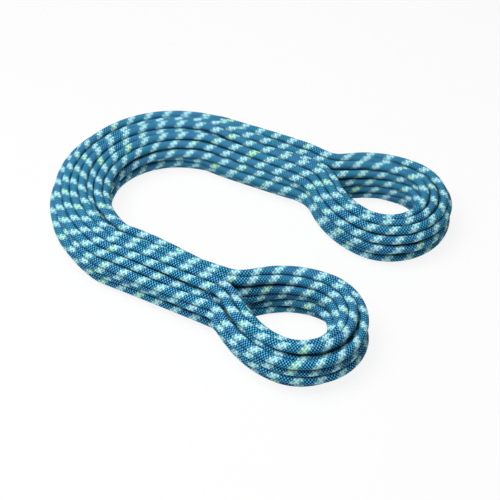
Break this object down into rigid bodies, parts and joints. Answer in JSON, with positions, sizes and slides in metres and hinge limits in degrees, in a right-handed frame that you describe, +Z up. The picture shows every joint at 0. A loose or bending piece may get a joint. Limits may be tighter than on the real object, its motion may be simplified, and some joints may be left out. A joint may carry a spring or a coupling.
{
  "type": "dynamic climbing rope",
  "caption": "Blue dynamic climbing rope, put away as a long hank that lies bent into a U, with an open eye at the end of each arm.",
  "frame": {"origin": "on the floor, under the middle of the hank's bounding box", "axes": "+X along the arms of the U, out of its open side; +Y from the near arm to the far arm; +Z up from the floor"},
  "size_m": [0.4444, 0.3634, 0.0584],
  "materials": {
    "sheath_braid": "matte",
    "core_strands": "matte",
    "fused_tip": "satin",
    "end_film": "gloss"
  },
  "bodies": {
    "root": {"sheath": "sheath_braid", "core": "core_strands", "inner_end_tip": "fused_tip", "inner_end_sleeve": "end_film", "outer_end_tip": "fused_tip", "outer_end_sleeve": "end_film"}
  },
  "joints": []
}
